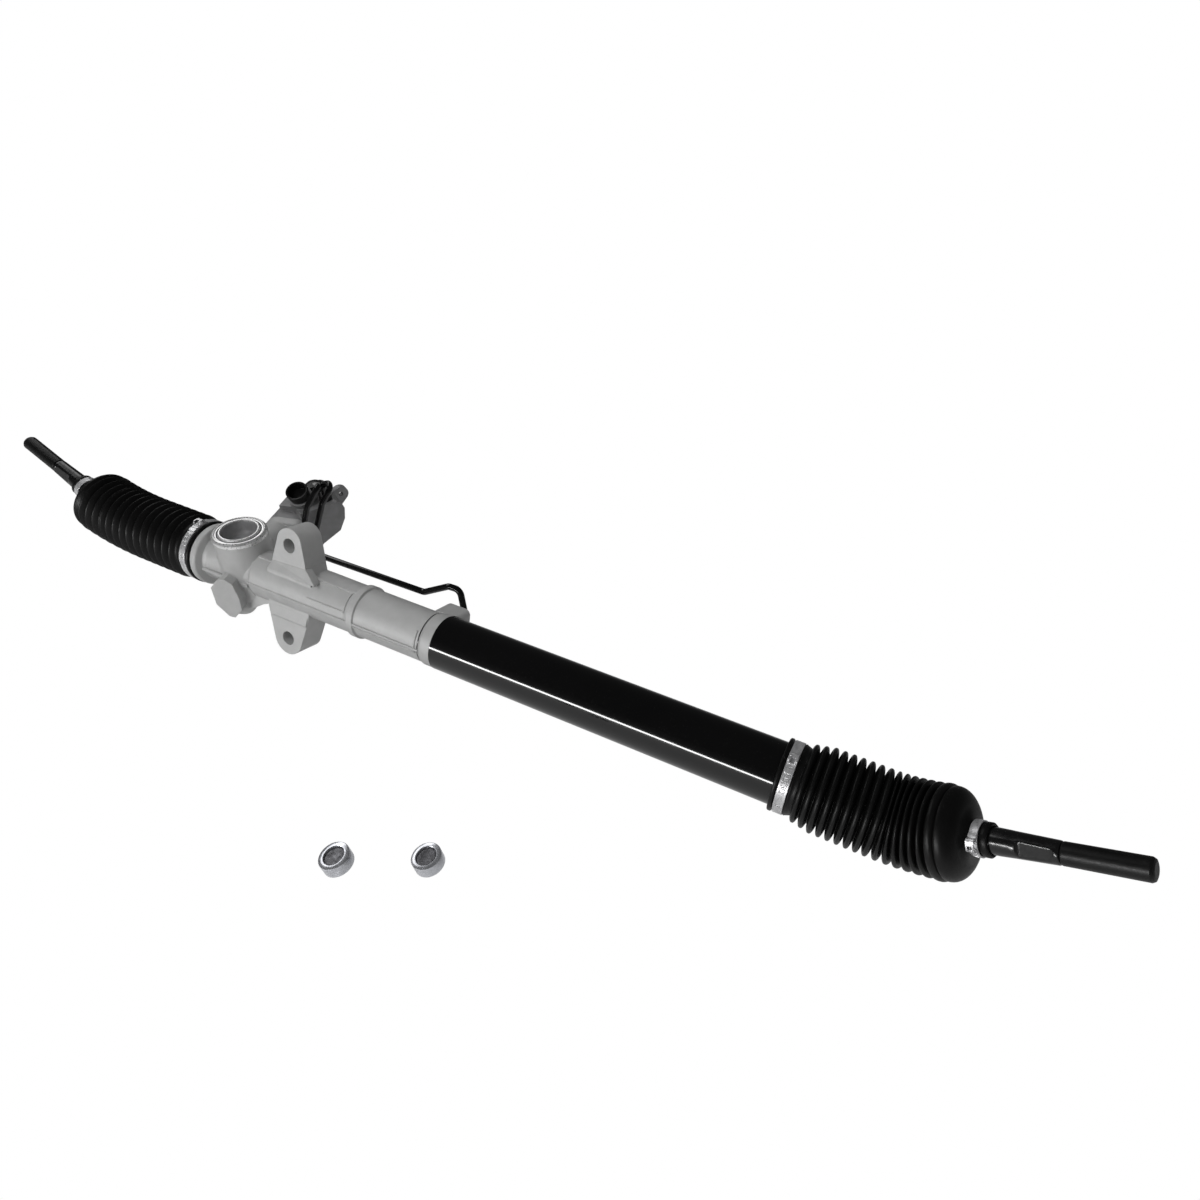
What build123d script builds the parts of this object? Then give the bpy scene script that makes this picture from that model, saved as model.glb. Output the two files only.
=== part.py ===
from build123d import *
from math import acos, atan2, cos, pi, radians, sin, tan
from collections import namedtuple
import os

os.makedirs("parts", exist_ok=True)

# Frame: X runs along the rack from the pinion end to the tube end, Z is up,
# and -Y is the side that the open ends of the mounting holes face.
# The origin is on the rack axis, midway between the two mounting holes.

# ---------------------------------------------------------------- rack
RACK_R = 13.0
RACK_LEFT = -238.0
RACK_RIGHT = 561.0
RACK_BORE_R = 14.0
TOOTH_LEFT = -184.0
TOOTH_COUNT = 26
MODULE = 2.0
PINION_TEETH = 7
PRESSURE = radians(20)
SHIFT = 0.55
BACKLASH = 0.16
PISTON_X = 250.0
PISTON_R = 18.45
PISTON_WIDTH = 16.0

# ---------------------------------------------------------------- pinion and yoke
YOKE_X = -72.4
YOKE_TILT = radians(17.1)
PINION_X = -83.3
PINION_LEAN = radians(-18.3)
CENTRE_DISTANCE = 17.0
FACE_HALF = 19.0

# ---------------------------------------------------------------- housing
FLANGE_LEFT = -120.0
FLANGE_RIGHT = -112.5
FLANGE_R = 31.8
SPIGOT_LEFT = -136.0
SPIGOT_R = 28.5
NECK_R = 23.0
BARREL_R = 24.0
SHOULDER_X = -51.0
BEAD_X = 79.0
BEAD_LEFT = 75.0
BEAD_RIGHT = 81.6
JOINT_X = 168.6
COLLAR_R = 25.1
HOLE_Z = 48.8
HOLE_R = 7.1
EAR_R = 16.4
UPPER_HEAD_R = 14.9
UPPER_HEAD_Z = 51.2
EAR_FRONT = -20.0
EAR_BACK = 7.0

LONG_PORT_X = 160.0
LONG_PORT_Z = 5.0
SHORT_PORT_X = 93.0
SHORT_PORT_Z = -9.0
PORT_FACE_Y = 30.0
PORT_R = 6.5
SOCKET_BORE_R = 23.9

# ---------------------------------------------------------------- valve
# side and up offsets are measured square to the pinion axis; the sketch
# planes there have their y axis pointing down, hence the minus signs
VALVE_SEAT = 84.0
VALVE_TOP = 148.0
VALVE_R = 19.5
SPOOL_R = 14.4
INPUT_R = 8.0
SHAFT_R = 7.75
SPLINE_START = 176.4
INPUT_END = 186.0
VALVE_SCREWS = ((-25, 14), (25, 16))
PIPE_R = 3.2
PORT_SPOTS = ((40, 118), (20, 134))

# ---------------------------------------------------------------- tube
TUBE_R = 25.4
TUBE_BORE_R = 22.4
TUBE_RIGHT = 497.0
SLEEVE_R = 20.45
CYLINDER_R = 18.5
CYLINDER_LEFT = 88.0
CYLINDER_RIGHT = 474.0

# ---------------------------------------------------------------- tie rods
BALL_LEFT_X = -263.4
BALL_RIGHT_X = 586.4
BALL_R = 12.0
ROD_LEFT_DIR = Vector(-0.9480, -0.0125, 0.3180)
ROD_RIGHT_DIR = Vector(0.8321, -0.3469, 0.4327)
SOCKET_R = 19.0
CAP_START = 100.3
CAP_END = 151.0
CAP_R = 7.8
THREAD_R = 6.0

# ---------------------------------------------------------------- boots
CREST_R = 34.2
FOLD_DEPTH = 6.2
INSIDE_R = 26.0
NECK_BORE = 7.66
NECK_R_OUT = 11.0
NECK_LENGTH = 15.0

sin_b = sin(PINION_LEAN)
cos_b = cos(PINION_LEAN)
yoke_dir = Vector(0, -sin(YOKE_TILT), cos(YOKE_TILT))
across = Vector(0, cos(YOKE_TILT), sin(YOKE_TILT))
pinion_dir = Vector(1, 0, 0) * sin_b + across * cos_b
side_dir = Vector(1, 0, 0) * cos_b - across * sin_b
pinion_origin = Vector(PINION_X, 0, 0) - yoke_dir * CENTRE_DISTANCE


def pinion_point(side, up, along):
    return pinion_origin + side_dir * side + yoke_dir * up + pinion_dir * along


def pinion_plane(along, side=0.0, up=0.0):
    # local x is side_dir, local y is -yoke_dir, the normal is pinion_dir
    return Plane(origin=pinion_point(side, up, along), x_dir=side_dir, z_dir=pinion_dir)


def yoke_plane(height):
    centre = Vector(YOKE_X, 0, 0) + yoke_dir * height
    return Plane(origin=centre, x_dir=(1, 0, 0), z_dir=yoke_dir)


def turned(points, axis_plane):
    # a lathe profile of (distance along the plane's z, radius) pairs
    with BuildPart() as piece:
        with BuildSketch(Plane(origin=axis_plane.origin, x_dir=axis_plane.z_dir,
                               z_dir=axis_plane.x_dir)):
            Polygon(*points, align=None)
        revolve(axis=Axis(axis_plane.origin, axis_plane.z_dir))
    return piece.part


def rod_plane(centre_x, direction, along):
    level = Vector(0, 0, 1).cross(direction).normalized()
    return Plane(origin=Vector(centre_x, 0, 0) + direction * along, x_dir=level, z_dir=direction)


def valve_flange_outline():
    Circle(19.5)
    with Locations(*VALVE_SCREWS):
        Circle(8.5)
    with Locations((20, -10)):
        Circle(9)
    make_hull()


x_axis_plane = Plane(origin=(0, 0, 0), x_dir=(0, 1, 0), z_dir=(1, 0, 0))
made = []


def keep(name, shape):
    shape.label = name
    export_step(shape, f"parts/{name}.step")
    made.append((name, len(shape.solids())))


# ================================================================ gear housing
# One aluminium casting: boot spigot, flange, yoke boss, pinion bore, two
# mounting ears, and the barrel that receives the tube.
barrel_profile = [
    (SPIGOT_LEFT, 0), (SPIGOT_LEFT, SPIGOT_R - 1), (SPIGOT_LEFT + 1, SPIGOT_R), (FLANGE_LEFT, SPIGOT_R),
    (FLANGE_LEFT, FLANGE_R - 1), (FLANGE_LEFT + 1, FLANGE_R), (FLANGE_RIGHT - 1, FLANGE_R),
    (FLANGE_RIGHT, FLANGE_R - 1), (FLANGE_RIGHT + 2, NECK_R + 1.5), (FLANGE_RIGHT + 5, NECK_R),
    (SHOULDER_X, NECK_R - 1), (SHOULDER_X + 0.6, BARREL_R - 1.6), (SHOULDER_X + 2, BARREL_R - 0.2),
    (SHOULDER_X + 4.5, BARREL_R + 0.7), (BEAD_LEFT - 4, BARREL_R), (BEAD_LEFT - 0.6, BARREL_R + 0.8),
    (BEAD_LEFT, BARREL_R + 1.9), (BEAD_RIGHT, BARREL_R + 1.9), (BEAD_RIGHT + 0.8, BARREL_R - 0.1),
    (JOINT_X - 13, BARREL_R - 0.1), (JOINT_X - 10, COLLAR_R), (JOINT_X, COLLAR_R), (JOINT_X, 0),
]
ear_foot_z = 17.0
upper_foot = 27.5
lower_foot = 25.5
ear_depth = EAR_BACK - EAR_FRONT
front_face = Plane(origin=(0, EAR_FRONT, 0), x_dir=(1, 0, 0), z_dir=(0, -1, 0))
boss_outline = [(-1, -25), (-12, -14), (-12, 7), (-2, 21), (4, 22), (14, 11), (15, -3), (12, -21), (5, -26)]

with BuildPart() as housing:
    with BuildSketch(Plane.XY):
        Polygon(*barrel_profile, align=None)
    revolve(axis=Axis.X)
    # upper ear: round head, sides that splay out to a foot pad on the barrel
    with BuildSketch(front_face):
        with Locations((0, UPPER_HEAD_Z)):
            Circle(UPPER_HEAD_R)
        with Locations((0, ear_foot_z + 14)):
            Rectangle(2 * EAR_R + 8, 2)
        make_hull()
        Polygon((-EAR_R - 4, ear_foot_z + 14), (EAR_R + 4, ear_foot_z + 14),
                (EAR_R + 6.5, ear_foot_z + 6), (upper_foot, ear_foot_z), (-upper_foot, ear_foot_z),
                (-EAR_R - 6.5, ear_foot_z + 6), align=None)
        with Locations((0, ear_foot_z / 2)):
            Rectangle(2 * upper_foot, ear_foot_z)
    extrude(amount=-ear_depth)
    # lower ear: straighter sides, its front face set back by a sloped band
    with BuildSketch(front_face):
        with Locations((0, -HOLE_Z)):
            Circle(EAR_R + 0.6)
        with Locations((0, -ear_foot_z - 2)):
            Rectangle(2 * lower_foot, 4)
        make_hull()
        with Locations((0, -ear_foot_z / 2)):
            Rectangle(2 * lower_foot, ear_foot_z)
    extrude(amount=-ear_depth)
    with BuildSketch(Plane(origin=(-21, 0, 0), x_dir=(0, 1, 0), z_dir=(1, 0, 0))):
        Polygon((EAR_FRONT, -17.5), (EAR_FRONT - 2.4, -27.2), (EAR_FRONT - 1.6, -28.4), (EAR_FRONT + 1, -28.4),
                (EAR_FRONT + 1, -17.5), align=None)
    extrude(amount=45)
    # yoke boss
    with BuildSketch(yoke_plane(-8)):
        Circle(26.6)
    extrude(amount=47.5, taper=0.8)
    # pinion bore with a blind front boss and a tapered neck to the valve seat
    with BuildSketch(pinion_plane(-40)):
        Polygon(*boss_outline, align=None)
    extrude(amount=30)
    with BuildSketch(pinion_plane(-28)):
        Circle(17.5)
    extrude(amount=70)
    with BuildSketch(pinion_plane(-28.5)):
        with Locations((2, 4)):
            Circle(23)
    extrude(amount=40)
    # lower web that ties the pinion chamber to the lower ear
    with BuildSketch(Plane(origin=(0, -13, 0), x_dir=(1, 0, 0), z_dir=(0, -1, 0))):
        Polygon((-76, -10), (-70, -40), (-55, -37.5), (-41, -28), (-22, -20), (-22, 0), align=None)
    extrude(amount=-18)
    with BuildSketch(pinion_plane(24)):
        Circle(26.5)
    with BuildSketch(pinion_plane(VALVE_SEAT - 8)):
        Circle(19.5)
    loft()
    with BuildSketch(pinion_plane(VALVE_SEAT - 10)):
        valve_flange_outline()
    extrude(amount=10)
    # webs between the barrel and the pinion bore
    with BuildSketch(pinion_plane(-24)):
        with Locations((6, -12)):
            Rectangle(22, 26)
    extrude(amount=60)
    # casting seam bead low on the neck, and the thin ribs along the barrel
    for angle, start, end, height, width in (
        (-21, FLANGE_RIGHT, SHOULDER_X, 1.8, 3.2), (-8, SHOULDER_X + 2, JOINT_X - 12, 1.4, 2.2),
        (-15, BEAD_RIGHT, JOINT_X - 16, 0.9, 1.6), (62, SHOULDER_X - 2, BEAD_LEFT, 1.6, 3.0),
        (12, 26, 71, 1.1, 1.6), (172, SHOULDER_X, JOINT_X - 12, 1.4, 2.4),
    ):
        radial = Vector(0, -cos(radians(angle)), sin(radians(angle)))
        base = NECK_R if end <= SHOULDER_X else BARREL_R
        with BuildSketch(Plane(origin=Vector(start, 0, 0), x_dir=radial, z_dir=(1, 0, 0))):
            with Locations((base - 3 + height / 2, 0)):
                Rectangle(6 + height, width)
        extrude(amount=end - start)
    # short raised arcs that close the panels between those ribs
    for place, top_angle, span in ((70.5, 58, 46), (JOINT_X - 17, 34, 49)):
        radial = Vector(0, -cos(radians(top_angle)), sin(radians(top_angle)))
        with BuildSketch(Plane(origin=(place, 0, 0), x_dir=(1, 0, 0), z_dir=Vector(1, 0, 0).cross(radial))):
            with Locations((0, BARREL_R - 1)):
                Rectangle(1.6, 4)
        revolve(axis=Axis.X, revolution_arc=span)
    # port bosses on the rear of the barrel for the two transfer pipes
    with BuildSketch(Plane(origin=(LONG_PORT_X, 8, LONG_PORT_Z), x_dir=(1, 0, 0), z_dir=(0, 1, 0))):
        SlotCenterToCenter(11, 22)
        with Locations((0, -9)):
            RectangleRounded(27, 20, 6)
    extrude(amount=PORT_FACE_Y - 8)
    with BuildSketch(Plane(origin=(SHORT_PORT_X, 8, SHORT_PORT_Z), x_dir=(1, 0, 0), z_dir=(0, 1, 0))):
        Circle(10)
    extrude(amount=PORT_FACE_Y - 8)

    # ---- openings, cut after the outside is complete
    with BuildSketch(Plane(origin=(SPIGOT_LEFT - 1, 0, 0), x_dir=(0, 1, 0), z_dir=(1, 0, 0))):
        Circle(RACK_BORE_R)
    extrude(amount=JOINT_X + 2 - SPIGOT_LEFT, mode=Mode.SUBTRACT)
    with BuildSketch(Plane(origin=(BEAD_X - 5, 0, 0), x_dir=(0, 1, 0), z_dir=(1, 0, 0))):
        Circle(SLEEVE_R)
    extrude(amount=JOINT_X + 2 - BEAD_X + 5, mode=Mode.SUBTRACT)
    with BuildSketch(Plane(origin=(JOINT_X - 14, 0, 0), x_dir=(0, 1, 0), z_dir=(1, 0, 0))):
        Circle(SOCKET_BORE_R)
    extrude(amount=16, mode=Mode.SUBTRACT)
    with BuildSketch(Plane(origin=(JOINT_X, 0, 0), x_dir=(0, 1, 0), z_dir=(1, 0, 0))):
        Circle(TUBE_R + 0.3)
    extrude(amount=20, mode=Mode.SUBTRACT)
    # socket end of the spigot: wide mouth that clears the tie-rod joint
    with BuildSketch(Plane(origin=(SPIGOT_LEFT - 1, 0, 0), x_dir=(0, 1, 0), z_dir=(1, 0, 0))):
        Circle(20.5)
    extrude(amount=14, mode=Mode.SUBTRACT)
    # yoke bore and the threaded seat above it
    with BuildSketch(yoke_plane(0)):
        Circle(17.0)
    extrude(amount=45, mode=Mode.SUBTRACT)
    with BuildSketch(yoke_plane(25)):
        Circle(20.6)
    extrude(amount=20, mode=Mode.SUBTRACT)
    # pinion chamber, lower bearing seat, upper bearing seat
    with BuildSketch(pinion_plane(-21)):
        Circle(11.4)
    extrude(amount=60, mode=Mode.SUBTRACT)
    with BuildSketch(pinion_plane(-35)):
        Circle(9.0)
    extrude(amount=20, mode=Mode.SUBTRACT)
    with BuildSketch(pinion_plane(38)):
        Circle(13.5)
    extrude(amount=50, mode=Mode.SUBTRACT)
    with BuildSketch(pinion_plane(62)):
        Circle(15.5)
    extrude(amount=25, mode=Mode.SUBTRACT)
    # mounting holes through both ears
    with BuildSketch(front_face.offset(5)):
        with Locations((0, HOLE_Z), (0, -HOLE_Z)):
            Circle(HOLE_R)
    extrude(amount=-ear_depth - 25, mode=Mode.SUBTRACT)
    # pipe ports and the screw holes of the valve flange
    with BuildSketch(Plane(origin=(0, PORT_FACE_Y + 1, 0), x_dir=(1, 0, 0), z_dir=(0, -1, 0))):
        with Locations((LONG_PORT_X, LONG_PORT_Z), (SHORT_PORT_X, SHORT_PORT_Z)):
            Circle(PORT_R)
    extrude(amount=9, mode=Mode.SUBTRACT)
    with BuildSketch(pinion_plane(VALVE_SEAT - 12)):
        with Locations(*VALVE_SCREWS):
            Circle(4.05)
    extrude(amount=14, mode=Mode.SUBTRACT)
keep("gear_housing", housing.part)


# ================================================================ tube and cylinder
keep("cylinder_tube", turned([
    (JOINT_X - 13.6, TUBE_BORE_R), (JOINT_X - 13.6, SOCKET_BORE_R - 0.05), (JOINT_X, SOCKET_BORE_R - 0.05),
    (JOINT_X, TUBE_R), (TUBE_RIGHT - 1, TUBE_R), (TUBE_RIGHT, TUBE_R - 1), (TUBE_RIGHT, TUBE_BORE_R),
], x_axis_plane))
keep("inner_cylinder", turned([
    (CYLINDER_LEFT, CYLINDER_R), (CYLINDER_LEFT, SLEEVE_R - 0.05), (CYLINDER_RIGHT, SLEEVE_R - 0.05),
    (CYLINDER_RIGHT, CYLINDER_R),
], x_axis_plane))
keep("inner_rack_seal", turned([
    (BEAD_X - 4.9, RACK_R + 0.06), (BEAD_X - 4.9, SLEEVE_R - 0.05), (CYLINDER_LEFT, SLEEVE_R - 0.05),
    (CYLINDER_LEFT, RACK_R + 0.06),
], x_axis_plane))
keep("outer_rack_bushing", turned([
    (CYLINDER_RIGHT, RACK_R + 0.06), (CYLINDER_RIGHT, TUBE_BORE_R - 0.05),
    (CYLINDER_RIGHT + 16, TUBE_BORE_R - 0.05), (CYLINDER_RIGHT + 16, 19), (CYLINDER_RIGHT + 21, 19),
    (CYLINDER_RIGHT + 21, RACK_R + 0.06),
], x_axis_plane))

# ================================================================ yoke assembly
# the yoke is pushed square against the back of the rack by a disc spring
with BuildPart() as rack_guide:
    with BuildSketch(yoke_plane(3)):
        Circle(16.93)
    extrude(amount=21)
    with BuildSketch(yoke_plane(16)):
        Circle(9)
    extrude(amount=9, mode=Mode.SUBTRACT)
    with BuildSketch(Plane(origin=(YOKE_X - 30, 0, 0), x_dir=(0, 1, 0), z_dir=(1, 0, 0))):
        Circle(RACK_R + 0.06)
    extrude(amount=60, mode=Mode.SUBTRACT)
keep("rack_guide", rack_guide.part)
keep("yoke_spring", turned([(24, 13), (24, 15.5), (26.4, 10.5), (26.4, 7.5)], yoke_plane(0)))
keep("yoke_plug", turned([
    (26.5, 0), (26.5, 20.5), (43.3, 20.5), (44.3, 19.6), (44.3, 18.9), (43.2, 18.2), (31, 17.4), (30, 16.4), (30, 0),
], yoke_plane(0)))
keep("yoke_lock_ring", turned([
    (39.6, 21.2), (39.6, 25.6), (42.6, 25.6), (43.4, 24.8), (43.4, 22.2), (42.6, 21.2),
], yoke_plane(0)))

# ================================================================ pinion and valve
keep("pinion_lower_bearing", turned([(-34.8, 6.06), (-34.8, 8.95), (-22, 8.95), (-22, 6.06)], pinion_plane(0)))
keep("pinion_upper_bearing", turned([(62.05, 9.06), (62.05, 15.45), (77, 15.45), (77, 9.06)], pinion_plane(0)))

pitch_r = MODULE * PINION_TEETH / (2 * cos_b)
face_pressure = atan2(tan(PRESSURE), cos_b)
base_r = pitch_r * cos(face_pressure)
tip_r = pitch_r + MODULE * (SHIFT + 0.85)
root_r = pitch_r - MODULE * (1.2 - SHIFT)
pitch_half = (pi / 2 + 2 * SHIFT * tan(PRESSURE)) / PINION_TEETH - BACKLASH / pitch_r / 2


def involute(angle):
    return tan(angle) - angle


def half_angle(radius):
    if radius <= base_r:
        return pitch_half + involute(face_pressure)
    return pitch_half + involute(face_pressure) - involute(acos(base_r / radius))


flank_radii = (root_r, base_r + 0.1, pitch_r, pitch_r + 1.1, pitch_r + 2.0, tip_r)
pinion_outline = []
for tooth in range(PINION_TEETH):
    middle = 2 * pi * tooth / PINION_TEETH
    for radius in flank_radii:
        turn = middle - half_angle(radius)
        pinion_outline.append((radius * cos(turn), radius * sin(turn)))
    for radius in reversed(flank_radii):
        turn = middle + half_angle(radius)
        pinion_outline.append((radius * cos(turn), radius * sin(turn)))
lead = pi * MODULE * PINION_TEETH / sin(-PINION_LEAN)
# the pitch point lies along yoke_dir, which is the sketch's -y: a space faces it at mid-face
sections = 9
with BuildPart() as pinion_teeth:
    for section in range(sections):
        along = -FACE_HALF + 2 * FACE_HALF * section / (sections - 1)
        turn = -90 + 180 / PINION_TEETH + 360 * along / lead
        with BuildSketch(pinion_plane(along)):
            Polygon(*pinion_outline, rotation=turn, align=None)
    loft(ruled=True)
with BuildPart() as pinion_shaft:
    add(pinion_teeth.part)
    add(turned([(-34.5, 0), (-34.5, 6), (-20.5, 6), (-19.5, 5.5), (-17, 5.5), (-17, 0)], pinion_plane(0)))
    add(turned([(17, 0), (17, 5.5), (20, 5.5), (24, 9), (79, 9), (79, 13), (92, 13), (92, 0)], pinion_plane(0)))
keep("pinion_shaft", pinion_shaft.part)

sleeve_profile = [(92, SHAFT_R + 0.06), (92, SPOOL_R)]
for groove in (99, 109, 119, 129):
    sleeve_profile += [(groove, SPOOL_R), (groove, 12.6), (groove + 3, 12.6), (groove + 3, SPOOL_R)]
sleeve_profile += [(138, SPOOL_R), (138, SHAFT_R + 0.06)]
keep("valve_sleeve", turned(sleeve_profile, pinion_plane(0)))

with BuildPart() as input_shaft:
    with BuildSketch(pinion_plane(93)):
        Circle(SHAFT_R)
    extrude(amount=SPLINE_START - 93)
    with BuildSketch(pinion_plane(SPLINE_START)):
        Circle(INPUT_R)
    extrude(amount=INPUT_END - SPLINE_START)
    with BuildSketch(pinion_plane(SPLINE_START)):
        with PolarLocations(INPUT_R, 24):
            Rectangle(1.0, 0.4)
    extrude(amount=INPUT_END - SPLINE_START + 1, mode=Mode.SUBTRACT)
keep("input_shaft", input_shaft.part)

# valve housing: bolted body with an angled port face, an upright supply boss and a small drilled ear
port_face = Plane(origin=pinion_point(42, 0, 101), x_dir=(side_dir + pinion_dir).normalized(),
                  z_dir=(side_dir - pinion_dir).normalized())
# this plane's local y is yoke_dir
supply_dir = (yoke_dir * cos(radians(25)) - pinion_dir * sin(radians(25))).normalized()
supply_rim = pinion_point(18.5, 46, 99)


def supply_plane(height):
    return Plane(origin=supply_rim + supply_dir * height, x_dir=side_dir, z_dir=supply_dir)


with BuildPart() as valve_housing:
    with BuildSketch(pinion_plane(VALVE_SEAT)):
        valve_flange_outline()
    extrude(amount=10)
    with BuildSketch(pinion_plane(VALVE_SEAT)):
        Circle(VALVE_R)
    extrude(amount=VALVE_TOP - VALVE_SEAT, taper=0.6)
    with BuildSketch(port_face):
        Polygon((-23.4, 26), (10, 26.5), (18, 27), (23, 24), (25.5, 17), (23.5, 4), (16, -9.6), (-6, -20),
                (-16, -20), (-23.4, -10), align=None)
    extrude(amount=-30)
    with BuildSketch(pinion_plane(98)):
        with Locations((14, 0)):
            Rectangle(40, 50)
    extrude(amount=45)
    with BuildSketch(supply_plane(-10)):
        Circle(13.4)
    extrude(amount=-34, taper=-3)
    with BuildSketch(port_face.offset(-23)):
        with Locations((31.3, 21.4)):
            Circle(8.8)
        with Locations((10, 8)):
            Circle(14)
        make_hull()
    extrude(amount=-7)
    with BuildSketch(pinion_plane(VALVE_TOP - 1)):
        Circle(17)
    extrude(amount=7)
    # stepped bore for the valve sleeve, shaft seal and the supply port
    with BuildSketch(pinion_plane(VALVE_SEAT - 1)):
        Circle(SPOOL_R + 0.05)
    extrude(amount=58, mode=Mode.SUBTRACT)
    with BuildSketch(pinion_plane(VALVE_SEAT - 40)):
        Circle(SPOOL_R + 0.05)
    extrude(amount=42, mode=Mode.SUBTRACT)
    with BuildSketch(pinion_plane(140)):
        Circle(13.05)
    extrude(amount=20, mode=Mode.SUBTRACT)
    with BuildSketch(supply_plane(-5)):
        Circle(8.05)
    extrude(amount=-16, mode=Mode.SUBTRACT)
    with BuildSketch(port_face.offset(1)):
        with Locations((31.3, 21.4)):
            Circle(2.6)
    extrude(amount=-40, mode=Mode.SUBTRACT)
    for side, along in PORT_SPOTS:
        with BuildSketch(Plane(origin=pinion_point(side, 30, along), x_dir=side_dir, z_dir=yoke_dir)):
            Circle(PORT_R)
        extrude(amount=-16, mode=Mode.SUBTRACT)
    with BuildSketch(pinion_plane(VALVE_SEAT - 2)):
        with Locations(*VALVE_SCREWS):
            Circle(4.05)
    extrude(amount=24, mode=Mode.SUBTRACT)
    with BuildSketch(pinion_plane(VALVE_SEAT + 9.95)):
        with Locations(*VALVE_SCREWS):
            Circle(8.2)
    extrude(amount=22, mode=Mode.SUBTRACT)
keep("valve_housing", valve_housing.part)

keep("input_seal", turned([(140.05, 9.2), (140.05, 13), (147.5, 13), (147.5, SHAFT_R + 0.06), (144, SHAFT_R + 0.06)],
                          pinion_plane(0)))
keep("dust_cover", turned([
    (154, 10.5), (154, 16.6), (156.5, 16.6), (157.5, 15.6), (168, 15.4), (172, 14.2), (174.5, 12), (175.5, 9.6),
    (173.5, 9.2), (171, 11), (168, 12.6), (157, 12.6),
], pinion_plane(0)))

# two hexagon-headed screws clamp the valve housing to the gear housing
with BuildPart() as valve_screws:
    with BuildSketch(pinion_plane(VALVE_SEAT + 10)):
        with Locations(*VALVE_SCREWS):
            RegularPolygon(7.2, 6)
    extrude(amount=6)
    with BuildSketch(pinion_plane(VALVE_SEAT - 9)):
        with Locations(*VALVE_SCREWS):
            Circle(4)
    extrude(amount=20)
keep("valve_screws", valve_screws.part)

# hollow transit plug in the supply port
keep("port_cap", turned([
    (-18, 0), (-18, 7.4), (-9.95, 8.0), (-9.95, 11.2), (-2, 12), (0, 12), (0.4, 11.6), (0, 10), (-8.6, 9.2), (-8.6, 0),
], supply_plane(0)))

# ================================================================ transfer pipes
long_pipe_run = [
    pinion_point(40, 14.3, 118), pinion_point(40, 46, 118), Vector(-61, 105, 73), Vector(-69, 96, 48),
    Vector(-74, 93, 14), Vector(-58, 76, 9), Vector(-19, 45, 15.1), Vector(109.5, 45, 17.0),
    Vector(137, 45, 32), Vector(150, 45, 32.5), Vector(LONG_PORT_X, 45, LONG_PORT_Z),
    Vector(LONG_PORT_X, 24, LONG_PORT_Z),
]
short_pipe_run = [
    pinion_point(20, 14.3, 134), pinion_point(20, 42, 134), Vector(-67, 88, 70), Vector(-74, 79, 46),
    Vector(-75, 77, 31), pinion_point(37, -4, 66), pinion_point(40, -20, 56), Vector(-8, 46, -6),
    Vector(20, 46, SHORT_PORT_Z), Vector(SHORT_PORT_X, 46, SHORT_PORT_Z), Vector(SHORT_PORT_X, 24, SHORT_PORT_Z),
]
for name, run, bend in (("long_pipe", long_pipe_run, 8), ("short_pipe", short_pipe_run, 6)):
    with BuildPart() as pipe:
        with BuildLine():
            FilletPolyline(*run, radius=bend)
        with BuildSketch(Plane(origin=run[0], z_dir=(run[1] - run[0]))):
            Circle(PIPE_R)
        sweep()
    keep(name, pipe.part)

nut_seats = (
    Plane(origin=pinion_point(40, 14.5, 118), x_dir=side_dir, z_dir=yoke_dir),
    Plane(origin=pinion_point(20, 14.5, 134), x_dir=side_dir, z_dir=yoke_dir),
    Plane(origin=(LONG_PORT_X, PORT_FACE_Y - 5.5, LONG_PORT_Z), x_dir=(1, 0, 0), z_dir=(0, 1, 0)),
    Plane(origin=(SHORT_PORT_X, PORT_FACE_Y - 5.5, SHORT_PORT_Z), x_dir=(1, 0, 0), z_dir=(0, 1, 0)),
)
nut_reach = (13, 13, 6, 6)
with BuildPart() as flare_nuts:
    for seat, reach in zip(nut_seats, nut_reach):
        with BuildSketch(seat):
            Circle(PORT_R - 0.1)
            Circle(PIPE_R + 0.05, mode=Mode.SUBTRACT)
        extrude(amount=reach)
        with BuildSketch(seat.offset(reach)):
            RegularPolygon(8, 6)
            Circle(PIPE_R + 0.05, mode=Mode.SUBTRACT)
        extrude(amount=6)
keep("flare_nuts", flare_nuts.part)

# ================================================================ rack
tooth_pitch = pi * MODULE
reference = CENTRE_DISTANCE - pitch_r - SHIFT * MODULE
tooth_tip = reference + 0.9 * MODULE
tooth_root = reference - 1.22 * MODULE
left_count = int((PINION_X - TOOTH_LEFT) / tooth_pitch)
profile_plane = Plane(origin=across * -20, x_dir=(1, 0, 0), z_dir=across)
# the profile plane's local y is -yoke_dir, the toothed side

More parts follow.
